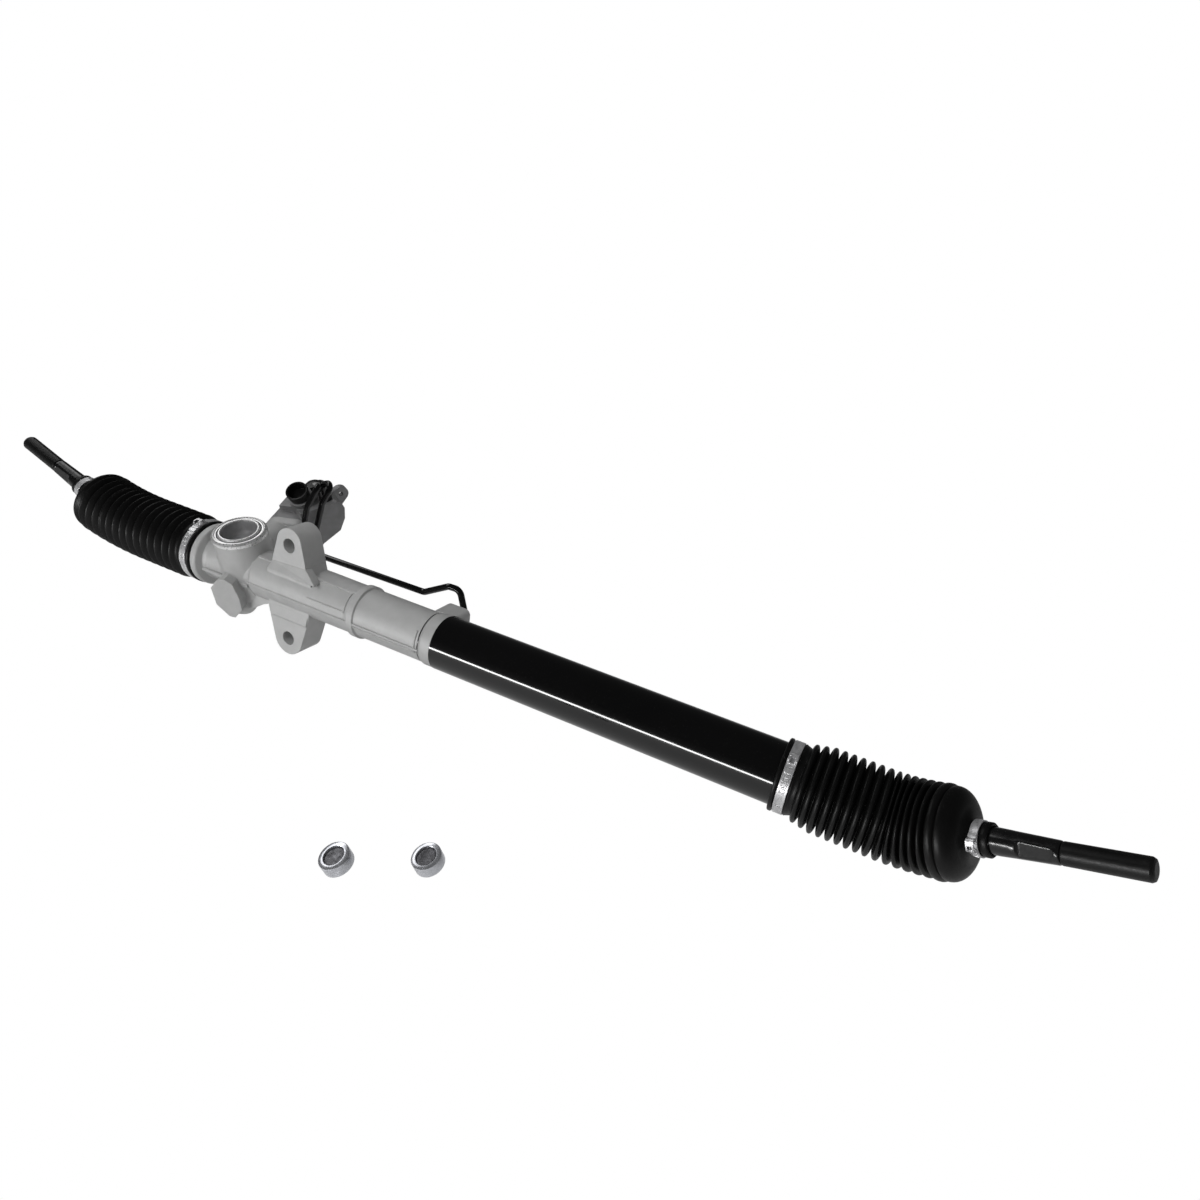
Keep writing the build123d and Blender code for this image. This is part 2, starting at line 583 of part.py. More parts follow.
with BuildPart() as rack_bar:
    with BuildSketch(Plane(origin=(RACK_LEFT, 0, 0), x_dir=(0, 1, 0), z_dir=(1, 0, 0))):
        Circle(RACK_R)
    extrude(amount=RACK_RIGHT - RACK_LEFT)
    gap_first = PINION_X - (left_count + 0.5) * tooth_pitch
    gap_last = gap_first + TOOTH_COUNT * tooth_pitch
    with BuildSketch(profile_plane) as tooth_spaces:
        with Locations(((gap_first + gap_last) / 2, tooth_tip + 5)):
            Rectangle(gap_last - gap_first + 2.5, 10)
        for gap in range(TOOTH_COUNT + 1):
            middle = gap_first + gap * tooth_pitch
            at_root = tooth_pitch / 4 - (reference - tooth_root) * tan(PRESSURE)
            at_tip = tooth_pitch / 4 + (tooth_tip + 1 - reference) * tan(PRESSURE)
            Polygon((middle - at_root, tooth_root), (middle + at_root, tooth_root),
                    (middle + at_tip, tooth_tip + 1), (middle - at_tip, tooth_tip + 1), align=None)
    extrude(amount=40, mode=Mode.SUBTRACT)
    for end, way in ((RACK_LEFT, 1), (RACK_RIGHT, -1)):
        with BuildSketch(Plane(origin=(end, 0, 0), x_dir=(0, 1, 0), z_dir=(way, 0, 0))):
            Circle(8.05)
        extrude(amount=22, mode=Mode.SUBTRACT)
keep("rack_bar", rack_bar.part)

keep("piston", turned([
    (PISTON_X - 8, RACK_R + 0.02), (PISTON_X - 8, PISTON_R - 1), (PISTON_X - 7, PISTON_R - 0.02),
    (PISTON_X - 2.5, PISTON_R - 0.02), (PISTON_X - 2.5, 16.4), (PISTON_X + 2.5, 16.4),
    (PISTON_X + 2.5, PISTON_R - 0.02), (PISTON_X + 7, PISTON_R - 0.02), (PISTON_X + 8, PISTON_R - 1),
    (PISTON_X + 8, RACK_R + 0.02),
], x_axis_plane))
keep("piston_ring", turned([
    (PISTON_X - 2.4, 16.45), (PISTON_X - 2.4, PISTON_R), (PISTON_X + 2.4, PISTON_R), (PISTON_X + 2.4, 16.45),
], x_axis_plane))

with BuildPart() as lock_washers:
    for face_x, way in ((RACK_LEFT, -1), (RACK_RIGHT, 1)):
        with BuildSketch(Plane(origin=(face_x, 0, 0), x_dir=(0, 1, 0), z_dir=(way, 0, 0))):
            Circle(16.2)
            Circle(8.1, mode=Mode.SUBTRACT)
        extrude(amount=1.95)
keep("lock_washers", lock_washers.part)

# ================================================================ tie rods, one set a side
sides = (
    ("left", BALL_LEFT_X, -1, ROD_LEFT_DIR.normalized()),
    ("right", BALL_RIGHT_X, 1, ROD_RIGHT_DIR.normalized()),
)
seat_clear = 0.05
for side, ball_x, way, rod_dir in sides:
    socket_plane = Plane(origin=(ball_x, 0, 0), x_dir=(0, 1, 0), z_dir=(way, 0, 0))
    with BuildPart() as socket:
        add(turned([
            (-44, 0), (-44, 7), (-43, 8), (-23.4, 8), (-23.4, 15.5), (-20, 17.4), (-17, 19), (2, 19), (5.5, 17.5),
            (5.5, 0),
        ], socket_plane))
        with Locations((ball_x, 0, 0)):
            Sphere(BALL_R + 2.06, mode=Mode.SUBTRACT)
        # two wrench flats
        for flat in (1, -1):
            with Locations((ball_x - way * 11, flat * 22.5, 0)):
                Box(12, 10, 40, mode=Mode.SUBTRACT)
    keep(f"{side}_ball_socket", socket.part)

    heading = Vector(rod_dir.X, rod_dir.Y, 0).normalized()
    with BuildPart() as seat:
        with Locations((ball_x, 0, 0)):
            Sphere(BALL_R + 2)
            Sphere(BALL_R + seat_clear, mode=Mode.SUBTRACT)
        add(turned([(0, 0), (20, 0), (20, 20 * tan(radians(63)))],
                   Plane(origin=(ball_x, 0, 0), x_dir=(0, 0, 1), z_dir=heading)), mode=Mode.SUBTRACT)
    keep(f"{side}_ball_seat", seat.part)

    along_rod = rod_plane(ball_x, rod_dir, 0)
    with BuildPart() as tie_rod:
        with Locations((ball_x, 0, 0)):
            Sphere(BALL_R)
        add(turned([
            (8, 0), (8, 6.3), (34, 6.3), (38, 7.6), (68, 7.6), (69, 7.2), (90, 7.2), (92, THREAD_R), (145, THREAD_R),
            (146, THREAD_R - 1), (146, 0),
        ], along_rod))
        for turn in (1, -1):
            with BuildSketch(rod_plane(ball_x, rod_dir, 72)):
                with Locations((0, turn * 10.3)):
                    Rectangle(20, 8)
            extrude(amount=14, mode=Mode.SUBTRACT)
    keep(f"{side}_tie_rod", tie_rod.part)
    keep(f"{side}_rod_cap", turned([
        (CAP_START, THREAD_R + 0.08), (CAP_START, CAP_R - 0.3), (CAP_START + 0.6, CAP_R), (CAP_END - 2.2, CAP_R),
        (CAP_END - 0.6, CAP_R - 0.9), (CAP_END, CAP_R - 2.6), (CAP_END, 0), (147, 0), (147, THREAD_R + 0.08),
    ], along_rod))

# ================================================================ boots and clamps
def boot_station(boot, along):
    # centre and direction of the boot's middle line: straight, curving, then straight on the rod
    straight = abs(boot.bend_x - boot.start_x)
    axis = Vector(boot.way, 0, 0)
    if along <= straight:
        return Vector(boot.start_x + boot.way * along, 0, 0), axis
    first = Vector(boot.bend_x, 0, 0)
    last = Vector(boot.ball_x, 0, 0) + boot.rod_dir * (boot.neck_end - NECK_LENGTH)
    reach = (last - first).length * 1.02
    if along >= straight + reach:
        return last + boot.rod_dir * (along - straight - reach), boot.rod_dir
    u = (along - straight) / reach
    place = (first * (2 * u**3 - 3 * u**2 + 1) + axis * reach * (u**3 - 2 * u**2 + u)
             + last * (3 * u**2 - 2 * u**3) + boot.rod_dir * reach * (u**3 - u**2))
    slope = (first * (6 * u**2 - 6 * u) + axis * reach * (3 * u**2 - 4 * u + 1)
             + last * (6 * u - 6 * u**2) + boot.rod_dir * reach * (3 * u**2 - 2 * u))
    return place, slope.normalized()


def boot_plane(boot, along):
    centre, facing = boot_station(boot, along)
    return Plane(origin=centre, x_dir=Vector(0, 0, 1).cross(facing), z_dir=facing)


Boot = namedtuple("Boot", "side start_x way bend_x ball_x rod_dir neck_end cuff_bore cuff_r cuff_end "
                          "first last count near_r")
boots = (
    Boot("left", -121.5, -1, -205.0, BALL_LEFT_X, sides[0][3], 63.0, SPIGOT_R + 0.05, 31.2, 16.8, 25.0, 176.0, 14,
         CREST_R),
    Boot("right", 484.0, 1, 563.0, BALL_RIGHT_X, sides[1][3], 57.0, TUBE_R + 0.05, 27.9, 15.0, 20.6, 118.0, 15,
         31.4),
)
for boot in boots:
    curve = (Vector(boot.ball_x, 0, 0) + boot.rod_dir * (boot.neck_end - NECK_LENGTH)
             - Vector(boot.bend_x, 0, 0)).length * 1.02
    neck_start = abs(boot.bend_x - boot.start_x) + curve
    total = neck_start + NECK_LENGTH
    step = (boot.last - boot.first) / (boot.count - 1)
    outside = [(0, boot.cuff_r), (boot.cuff_end, boot.cuff_r)]
    for crest in range(boot.count):
        here = boot.first + crest * step
        grown = min(CREST_R, boot.near_r + crest * 1.4)
        outside.append((here - step / 2, grown - FOLD_DEPTH))
        outside.append((here, grown))
    room = neck_start - boot.last
    outside += [(boot.last + room * 0.2, CREST_R - 2.0), (boot.last + room * 0.4, CREST_R - 2.6),
                (boot.last + room * 0.68, CREST_R - 7.5), (boot.last + room * 0.88, CREST_R - 15),
                (neck_start, NECK_R_OUT + 0.8), (total, NECK_R_OUT)]
    first_inside = boot.near_r - FOLD_DEPTH - 2.2
    inside = [(-1, boot.cuff_bore), (boot.cuff_end - 1.6, boot.cuff_bore), (boot.cuff_end - 1.2, first_inside)]
    rings = 12
    for ring in range(1, rings + 1):
        along = boot.cuff_end + (boot.last - boot.cuff_end) * ring / rings
        inside.append((along, min(INSIDE_R, first_inside + ring)))
    inside += [(boot.last + room * 0.55, INSIDE_R - 3), (neck_start - 2, NECK_BORE), (total + 1.0, NECK_BORE)]
    with BuildPart() as bellows:
        for along, radius in outside:
            with BuildSketch(boot_plane(boot, along)):
                Circle(radius)
        loft(ruled=True)
        for along, radius in inside:
            with BuildSketch(boot_plane(boot, along)):
                Circle(radius)
        loft(ruled=True, mode=Mode.SUBTRACT)
    keep(f"{boot.side}_boot", bellows.part)

# band clamps on the cuffs: a strap with one raised crimp loop
for side, low_x, high_x, inner, outer, crimp_angle in (
    ("left", -133.2, -125.4, 31.25, 32.4, 72), ("right", 488.2, 496.0, 27.95, 29.1, 58),
):
    radial = Vector(0, -cos(radians(crimp_angle)), sin(radians(crimp_angle)))
    with BuildPart() as band:
        add(turned([(low_x, inner), (low_x, outer), (high_x, outer), (high_x, inner)], x_axis_plane))
        with BuildSketch(Plane(origin=Vector(low_x + 1.2, 0, 0), x_dir=radial.cross(Vector(1, 0, 0)) * -1,
                               z_dir=(1, 0, 0))):
            with Locations((0, outer + 0.8)):
                RectangleRounded(9, 3.6, 1.2)
            with Locations((0, outer + 0.8)):
                RectangleRounded(6.6, 1.8, 0.8, mode=Mode.SUBTRACT)
        extrude(amount=high_x - low_x - 2.4)
        with BuildSketch(Plane(origin=(low_x - 1, 0, 0), x_dir=(0, 1, 0), z_dir=(1, 0, 0))):
            Circle(inner)
        extrude(amount=high_x - low_x + 2, mode=Mode.SUBTRACT)
    keep(f"{side}_band_clamp", band.part)

for side, ball_x, way, rod_dir in sides:
    near = 51.5 if side == "left" else 45.0
    with BuildPart() as clip:
        add(turned([(near, NECK_R_OUT + 0.85), (near, NECK_R_OUT + 1.75), (near + 6, NECK_R_OUT + 1.65), (near + 6, NECK_R_OUT + 0.75)],
                   rod_plane(ball_x, rod_dir, 0)))
        with BuildSketch(rod_plane(ball_x, rod_dir, near + 0.4)):
            with Locations((0, NECK_R_OUT + 3.0)):
                Rectangle(5, 3.4)
        extrude(amount=5.2)
    keep(f"{side}_rod_clip", clip.part)

# ================================================================ loose nuts
# they rest tilted the way the loose pair lies beside the rack
nut_facing = Vector(-0.17, -0.40, 0.90).normalized()
for name, nut_x, nut_y, nut_z in (("loose_nut_a", 238.0, -213.0, -61.0), ("loose_nut_b", 288.0, -177.0, -61.0)):
    keep(name, turned([
        (-5, 6.4), (-5, 10.4), (-4.4, 11), (4.6, 11), (5.2, 10.5), (5.2, 8.6), (4.6, 8.0), (2.6, 7.8), (2.6, 0),
        (-1, 0), (-1, 6.4),
    ], Plane(origin=(nut_x, nut_y, nut_z), x_dir=Vector(0, 1, 0).cross(nut_facing), z_dir=nut_facing)))
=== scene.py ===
import math

import bmesh
import bpy
from mathutils import Matrix, Vector


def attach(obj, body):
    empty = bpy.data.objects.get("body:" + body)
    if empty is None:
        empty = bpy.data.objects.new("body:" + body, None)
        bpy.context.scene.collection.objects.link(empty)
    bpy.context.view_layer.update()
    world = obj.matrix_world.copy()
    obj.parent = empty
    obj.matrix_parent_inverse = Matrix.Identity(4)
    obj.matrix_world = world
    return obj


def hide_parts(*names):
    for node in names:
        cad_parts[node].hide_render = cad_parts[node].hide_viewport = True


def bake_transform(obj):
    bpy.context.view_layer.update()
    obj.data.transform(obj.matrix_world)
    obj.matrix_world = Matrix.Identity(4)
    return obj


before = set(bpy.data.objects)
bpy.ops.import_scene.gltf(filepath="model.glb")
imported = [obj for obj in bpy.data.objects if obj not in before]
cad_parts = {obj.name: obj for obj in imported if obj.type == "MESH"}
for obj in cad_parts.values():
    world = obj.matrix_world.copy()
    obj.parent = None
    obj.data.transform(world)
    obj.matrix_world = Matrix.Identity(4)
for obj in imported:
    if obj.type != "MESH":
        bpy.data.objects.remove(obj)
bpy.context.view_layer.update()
MM = 0.001
X_AXIS = Vector((1, 0, 0))

# ------------------------------------------------------------------ camera
# fitted to the photograph: place in metres, and a turn whose columns point right, up and back
CAMERA_LENS = 24.0
CAMERA_SENSOR = 36.0
CAMERA_CLIP_START = 0.01
CAMERA_PLACE = (0.5316, -0.5515, 0.3435)
CAMERA_TURN = ((0.8893, -0.3040, 0.3415), (0.4286, 0.2939, -0.8544), (0.1594, 0.9062, 0.3917))

camera_data = bpy.data.cameras.new("camera")
camera_data.lens = CAMERA_LENS
camera_data.sensor_width = CAMERA_SENSOR
camera_data.clip_start = CAMERA_CLIP_START
camera = bpy.data.objects.new("camera", camera_data)
bpy.context.scene.collection.objects.link(camera)
camera.matrix_world = Matrix.Translation(CAMERA_PLACE) @ Matrix(CAMERA_TURN).to_4x4()
bpy.context.scene.camera = camera


# ------------------------------------------------------------------ shader nodes
def new_material(name):
    made = bpy.data.materials.new(name)
    made.use_nodes = True
    nodes = made.node_tree.nodes
    return made, nodes, made.node_tree.links, nodes["Principled BSDF"]


def maths(nodes, links, operation, first, second):
    # each input is a number or another node's output
    node = nodes.new("ShaderNodeMath")
    node.operation = operation
    for socket, value in zip(node.inputs, (first, second)):
        if isinstance(value, float):
            socket.default_value = value
        else:
            links.new(value, socket)
    return node.outputs["Value"]


def noise(nodes, links, scale, detail, stretch=(1, 1, 1), distortion=0.0):
    coord = nodes.new("ShaderNodeTexCoord")
    mapping = nodes.new("ShaderNodeMapping")
    mapping.inputs["Scale"].default_value = stretch
    links.new(coord.outputs["Object"], mapping.inputs["Vector"])
    texture = nodes.new("ShaderNodeTexNoise")
    texture.inputs["Scale"].default_value = scale
    texture.inputs["Detail"].default_value = detail
    texture.inputs["Distortion"].default_value = distortion
    links.new(mapping.outputs["Vector"], texture.inputs["Vector"])
    return texture.outputs["Fac"]


def spread(nodes, links, source, low, high, start=0.3, end=0.7):
    ranged = nodes.new("ShaderNodeMapRange")
    ranged.inputs["From Min"].default_value = start
    ranged.inputs["From Max"].default_value = end
    ranged.inputs["To Min"].default_value = low
    ranged.inputs["To Max"].default_value = high
    links.new(source, ranged.inputs["Value"])
    return ranged.outputs["Result"]


def edges(nodes, links, radius):
    # how far the rounded normal leaves the true one: 0 on a face, more along its edges
    bevel = nodes.new("ShaderNodeBevel")
    bevel.samples = 4
    bevel.inputs["Radius"].default_value = radius
    geometry = nodes.new("ShaderNodeNewGeometry")
    dot = nodes.new("ShaderNodeVectorMath")
    dot.operation = "DOT_PRODUCT"
    links.new(bevel.outputs["Normal"], dot.inputs[0])
    links.new(geometry.outputs["Normal"], dot.inputs[1])
    return bevel.outputs["Normal"], spread(nodes, links, dot.outputs["Value"], 1.0, 0.0, 0.80, 0.99)


def tint(nodes, links, under, over, factor):
    # the colour over is laid on under, which is a colour or another node's output
    mix = nodes.new("ShaderNodeMix")
    mix.data_type = "RGBA"
    mix.inputs["B"].default_value = (*over, 1)
    if isinstance(under, tuple):
        mix.inputs["A"].default_value = (*under, 1)
    else:
        links.new(under, mix.inputs["A"])
    links.new(factor, mix.inputs["Factor"])
    return mix.outputs["Result"]


def bump(nodes, links, height, distance, normal):
    node = nodes.new("ShaderNodeBump")
    node.inputs["Strength"].default_value = 1.0
    node.inputs["Distance"].default_value = distance
    links.new(height, node.inputs["Height"])
    if normal is not None:
        links.new(normal, node.inputs["Normal"])
    return node.outputs["Normal"]


# ------------------------------------------------------------------ materials
MOTTLE_DETAIL = 5.0
MOTTLE_DISTORTION = 0.4
GRAIN_DETAIL = 2.0
# patches along edges where the colour lightens: partly rubbed wear, partly a painted highlight
WEAR_AND_HIGHLIGHT_SCALE = 180.0
WEAR_AND_HIGHLIGHT_DETAIL = 2.0
WEAR_AND_HIGHLIGHT_AMOUNT = (0.25, 0.9)


def surface(name, dark, light, metallic, rough, grain, depth, mottle, stretch=(1, 1, 1), specular=0.5,
            rounded=0.0, wear_and_highlight=None):
    """A procedural finish. mottle and grain are noise scales per metre, for the colour and the fine bumps.

    depth is the bumps' height and rounded the radius at edges, both in metres. The last argument is the
    colour
    laid along edges: partly rubbed wear, partly a painted highlight where edges catch the light.
    """
    made, nodes, links, shader = new_material(name)
    shader.inputs["Metallic"].default_value = metallic
    shader.inputs["Specular IOR Level"].default_value = specular
    cloud = noise(nodes, links, mottle, MOTTLE_DETAIL, stretch, MOTTLE_DISTORTION)
    colour = tint(nodes, links, dark, light, spread(nodes, links, cloud, 0.0, 1.0))
    normal = None
    if rounded:
        normal, edge = edges(nodes, links, rounded)
        # along the edges the colour lightens in patches: partly rubbed wear, partly a painted highlight
        if wear_and_highlight is not None:
            patches = spread(nodes, links, noise(nodes, links, WEAR_AND_HIGHLIGHT_SCALE, WEAR_AND_HIGHLIGHT_DETAIL), *WEAR_AND_HIGHLIGHT_AMOUNT)
            colour = tint(nodes, links, colour, wear_and_highlight, maths(nodes, links, "MULTIPLY", edge, patches))
    links.new(colour, shader.inputs["Base Color"])
    fine = noise(nodes, links, grain, GRAIN_DETAIL, stretch)
    links.new(spread(nodes, links, fine, *rough), shader.inputs["Roughness"])
    links.new(bump(nodes, links, fine, depth, normal), shader.inputs["Normal"])
    return made


# each edge colour below is lighter than its finish: partly rubbed wear, partly a painted highlight on edges
cast = surface("cast_aluminium", dark=(0.395, 0.397, 0.395), light=(0.435, 0.437, 0.435), metallic=0.25,
               rough=(0.48, 0.66), grain=1400, depth=0.00011, mottle=90, rounded=0.0013,
               wear_and_highlight=(0.52, 0.52, 0.52))
valve_cast = surface("valve_casting", dark=(0.17, 0.17, 0.172), light=(0.225, 0.225, 0.228), metallic=0.3,
                     rough=(0.38, 0.58), grain=1400, depth=0.00009, mottle=60, rounded=0.001,
                     wear_and_highlight=(0.40, 0.40, 0.40))
plug_metal = surface("plug_cup", dark=(0.26, 0.26, 0.265), light=(0.34, 0.34, 0.345), metallic=0.45,
                     rough=(0.34, 0.48), grain=900, depth=0.00004, mottle=120, rounded=0.0004,
                     wear_and_highlight=(0.75, 0.75, 0.75))
turned = surface("turned_ring", dark=(0.66, 0.66, 0.66), light=(0.74, 0.74, 0.74), metallic=0.7,
                 rough=(0.26, 0.32), grain=500, depth=0.000001, mottle=60)
paint = surface("gloss_black_paint", dark=(0.0016, 0.0016, 0.0017), light=(0.0024, 0.0024, 0.0025),
                metallic=0.0, rough=(0.07, 0.10), grain=260, depth=0.000002, mottle=14)
rod_paint = surface("rod_black_paint", dark=(0.0035, 0.0035, 0.0036), light=(0.006, 0.006, 0.0062),
                    metallic=0.0, rough=(0.14, 0.24), grain=500, depth=0.00003, mottle=60, rounded=0.0006)
plastic = surface("cap_plastic", dark=(0.003, 0.003, 0.003), light=(0.006, 0.006, 0.006), metallic=0.0,
                  rough=(0.32, 0.44), grain=900, depth=0.00004, mottle=90, specular=0.25, rounded=0.0008)
rubber = surface("boot_rubber", dark=(0.0024, 0.0024, 0.0024), light=(0.0044, 0.0044, 0.0044), metallic=0.0,
                 rough=(0.34, 0.46), grain=1600, depth=0.00003, mottle=40, specular=0.2)
black_steel = surface("black_steel", dark=(0.007, 0.007, 0.007), light=(0.014, 0.014, 0.014), metallic=0.3,
                      rough=(0.30, 0.42), grain=900, depth=0.00005, mottle=120, rounded=0.0005,
                      wear_and_highlight=(0.05, 0.05, 0.05))
steel = surface("ground_steel", dark=(0.40, 0.40, 0.41), light=(0.55, 0.55, 0.56), metallic=1.0,
                rough=(0.20, 0.34), grain=500, depth=0.00003, mottle=80, stretch=(1, 8, 8), rounded=0.0004)
bronze = surface("bearing_bronze", dark=(0.36, 0.25, 0.12), light=(0.46, 0.33, 0.17), metallic=1.0,
                 rough=(0.3, 0.45), grain=600, depth=0.00004, mottle=90, rounded=0.0004)
seal = surface("oil_seal", dark=(0.015, 0.015, 0.015), light=(0.03, 0.03, 0.03), metallic=0.0,
               rough=(0.5, 0.65), grain=900, depth=0.00005, mottle=80)
strap = surface("band_steel", dark=(0.46, 0.46, 0.47), light=(0.66, 0.66, 0.67), metallic=0.65,
                rough=(0.26, 0.40), grain=420, depth=0.000006, mottle=90, stretch=(4, 1, 1), rounded=0.0003,
                wear_and_highlight=(0.9, 0.9, 0.9))
chrome = surface("ring_nut_plating", dark=(0.50, 0.51, 0.54), light=(0.66, 0.67, 0.71), metallic=0.8,
                 rough=(0.16, 0.24), grain=600, depth=0.000002, mottle=180)
# dark disc set in each nut's hole: painted shade where the hole is dark
painted_hole_shade = surface("nut_hole_painted_shade", dark=(0.07, 0.07, 0.075), light=(0.15, 0.15, 0.16), metallic=0.8,
                 rough=(0.22, 0.42), grain=700, depth=0.00004, mottle=260)

# nodes that aren't named here are ground steel; the nodes that a piece replaces aren't shown
finishes = {
    "gear_housing": cast, "valve_housing": valve_cast, "cylinder_tube": paint, "long_pipe": paint,
    "valve_screws": black_steel, "flare_nuts": black_steel, "input_shaft": black_steel,
    "left_ball_socket": black_steel, "right_ball_socket": black_steel,
    "port_cap": plastic, "left_rod_cap": plastic, "right_rod_cap": plastic,
    "input_seal": seal, "piston_ring": seal, "inner_rack_seal": seal,
    "left_ball_seat": bronze, "right_ball_seat": bronze, "outer_rack_bushing": bronze,
}
for name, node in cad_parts.items():
    node.data.materials.clear()
    node.data.materials.append(finishes.get(name, steel))


# ------------------------------------------------------------------ meshes
SHARP_ANGLE = math.radians(32)


def new_piece(name, points, faces, material):
    # points are in millimetres
    mesh = bpy.data.meshes.new(name)
    mesh.from_pydata([Vector(p) * MM for p in points], [], faces)
    mesh.update()
    mesh.shade_smooth()
    mesh.materials.append(material)
    made = bpy.data.objects.new(name, mesh)
    bpy.context.scene.collection.objects.link(made)
    return made


def solid_piece(name, points, faces, material, body, replaced=None):
    # a piece whose faces are turned outwards and whose hard edges stay sharp
    made = new_piece(name, points, faces, material)
    shaped = bmesh.new()
    shaped.from_mesh(made.data)
    bmesh.ops.recalc_face_normals(shaped, faces=shaped.faces)
    shaped.to_mesh(made.data)
    shaped.free()
    made.data.set_sharp_from_angle(angle=SHARP_ANGLE)
    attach(made, body)
    if replaced:
        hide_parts(replaced)
    return made


def tube_faces(rings, count, closed):
    # quads between neighbouring rings of count points; a closed run joins its last ring to its first
    faces = []
    for i in range(rings if closed else rings - 1):
        here = i * count
        there = (i + 1) % rings * count
        for k in range(count):
            m = (k + 1) % count
            faces.append((here + k, here + m, there + m, there + k))
    return faces


def across_axis(axis):
    # the two directions square to an axis: one to the front, one upwards
    front = (Vector((0, -1, 0)) - axis * Vector((0, -1, 0)).dot(axis)).normalized()
    up = front.cross(axis)
    return front, (up if up.z > 0 else -up)


def smooth(u):
    u = min(1.0, max(0.0, u))
    return u * u * (3 - 2 * u)


# ------------------------------------------------------------------ boots
CREST = 34.2
FOLD_STEPS = 12
CREST_GROWTH = 1.4
RING_STEPS = 13
DOME_STEPS = 14
DOME_DROP = 0.9
DOME_SHAPE = 2.2
CUFF_LENGTH = 14.5
NECK_LENGTH = 15
NECK_R = 12.0
NECK_BORE = 9.5
WALL = 1.7
INNER_CREST = 32.0
BEND_SLACK = 1.02
BOOT_SEGMENTS = 96


class Boot:
    """The boot's middle line and its moulded profile, in millimetres along that line.

    way is 1 or -1 along X. The line runs straight from start_x to bend_x and then turns onto the tie rod,
    whose ball lies at ball_x. The neck ends neck_end beyond the ball. first and last place the end ones of
    count crests, near_r is the first crest's radius, cuff and bore are the cuff's radii, and dome is the end
    dome's length. fold is a fold's depth. A fold_power of 1 gives straight flanks, and a larger one rounder
    crests. last_ring is the width of a broad ring before the dome, 0 for none, and groove the gap between the
    two.
    """

    def __init__(self, side, way, start_x, bend_x, ball_x, rod_dir, neck_end, first, last, count, near_r,
                 cuff, bore, dome, fold, fold_power, last_ring, groove):
        self.side = side
        self.way = way
        self.start_x = start_x
        self.ball_x = ball_x
        self.rod = Vector(rod_dir).normalized()
        self.first = first
        self.last = last
        self.count = count
        self.near_r = near_r
        self.cuff = cuff
        self.bore = bore
        self.dome = dome
        self.fold = fold
        self.fold_power = fold_power
        self.last_ring = last_ring
        self.groove = groove
        self.pitch = (last - first) / (count - 1)
        self.straight = abs(bend_x - start_x)
        self.bend_from = Vector((bend_x, 0, 0))
        self.bend_to = Vector((ball_x, 0, 0)) + self.rod * (neck_end - NECK_LENGTH)
        self.reach = (self.bend_to - self.bend_from).length * BEND_SLACK
        self.neck = self.straight + self.reach
        self.total = self.neck + NECK_LENGTH

    def station(self, s):
        # the middle line's place and direction at s: straight, then a cubic bend, then along the rod
        axis = Vector((self.way, 0, 0))
        if s <= self.straight:
            return Vector((self.start_x + self.way * s, 0, 0)), axis
        if s >= self.neck:
            return self.bend_to + self.rod * (s - self.neck), self.rod
        u = (s - self.straight) / self.reach
        a, b, reach = self.bend_from, self.bend_to, self.reach
        place = (a * (2 * u**3 - 3 * u**2 + 1) + axis * reach * (u**3 - 2 * u**2 + u)
                 + b * (3 * u**2 - 2 * u**3) + self.rod * reach * (u**3 - u**2))
        slope = (a * (6 * u**2 - 6 * u) + axis * reach * (3 * u**2 - 4 * u + 1)
                 + b * (6 * u - 6 * u**2) + self.rod * reach * (3 * u**2 - 2 * u))
        return place, slope.normalized()

    def cuff_rows(self):
        cuff = self.cuff
        lip = cuff + 1.5
        rows = [(0.0, cuff - 0.2), (0.15, lip - 0.6), (0.8, lip), (2.6, lip), (3.2, lip - 0.5), (3.5, cuff)]
        return rows + [(12.2, cuff), (12.6, cuff + 0.6), (13.2, cuff + 0.9), (13.9, cuff + 0.5)]

    def fold_rows(self):
        rows = []
        for crest in range(self.count):
            here = self.first + crest * self.pitch
            top = min(CREST, self.near_r + crest * CREST_GROWTH)
            below = min(CREST, self.near_r + max(0, crest - 1) * CREST_GROWTH)
            for k in range(FOLD_STEPS):
                u = k / FOLD_STEPS - 0.5
                if crest == 0 and u < -0.45:
                    continue
                depth = self.fold if u > 0 else self.fold - (top - below) * 0.5
                rows.append((here + u * self.pitch, top - depth * abs(2 * u) ** self.fold_power))
        return rows + [(self.last + self.pitch * 0.5, CREST - self.fold)]

    def ring_rows(self, start):
        # one broad ring, then a fine groove where the dome begins
        rows = []
        for k in range(1, RING_STEPS):
            u = 2 * k / RING_STEPS - 1
            flank = 4.2 if u < 0 else 3.2
            rows.append((start + self.last_ring * (u + 1) / 2, CREST + 0.3 - flank * abs(u) ** 3))
        return rows + [(start + self.last_ring, CREST - 3.6)]

    def dome_rows(self, start):
        # the smooth end dome, then the narrow neck with its lip beyond the clip
        rows = []
        end = self.last + self.dome
        for k in range(DOME_STEPS + 1):
            u = k / DOME_STEPS
            bulge = (1 - u**DOME_SHAPE) ** (1 / DOME_SHAPE)
            rows.append((start + (end - start) * u, NECK_R + (CREST - DOME_DROP - NECK_R) * bulge))
        lip = [(11.3, 11.5), (5.4, 11.3), (4.9, 11.9), (3.6, 12.1), (0.8, 12.1), (0, 11.4)]
        return rows + [(end + 1.5, 11.7)] + [(self.total - back, radius) for back, radius in lip]

    def outline(self):
        rows = self.cuff_rows() + self.fold_rows()
        valley = self.last + self.pitch * 0.5
        if self.last_ring:
            rows += self.ring_rows(valley)
        return sorted(rows + self.dome_rows(valley + self.last_ring + self.groove))

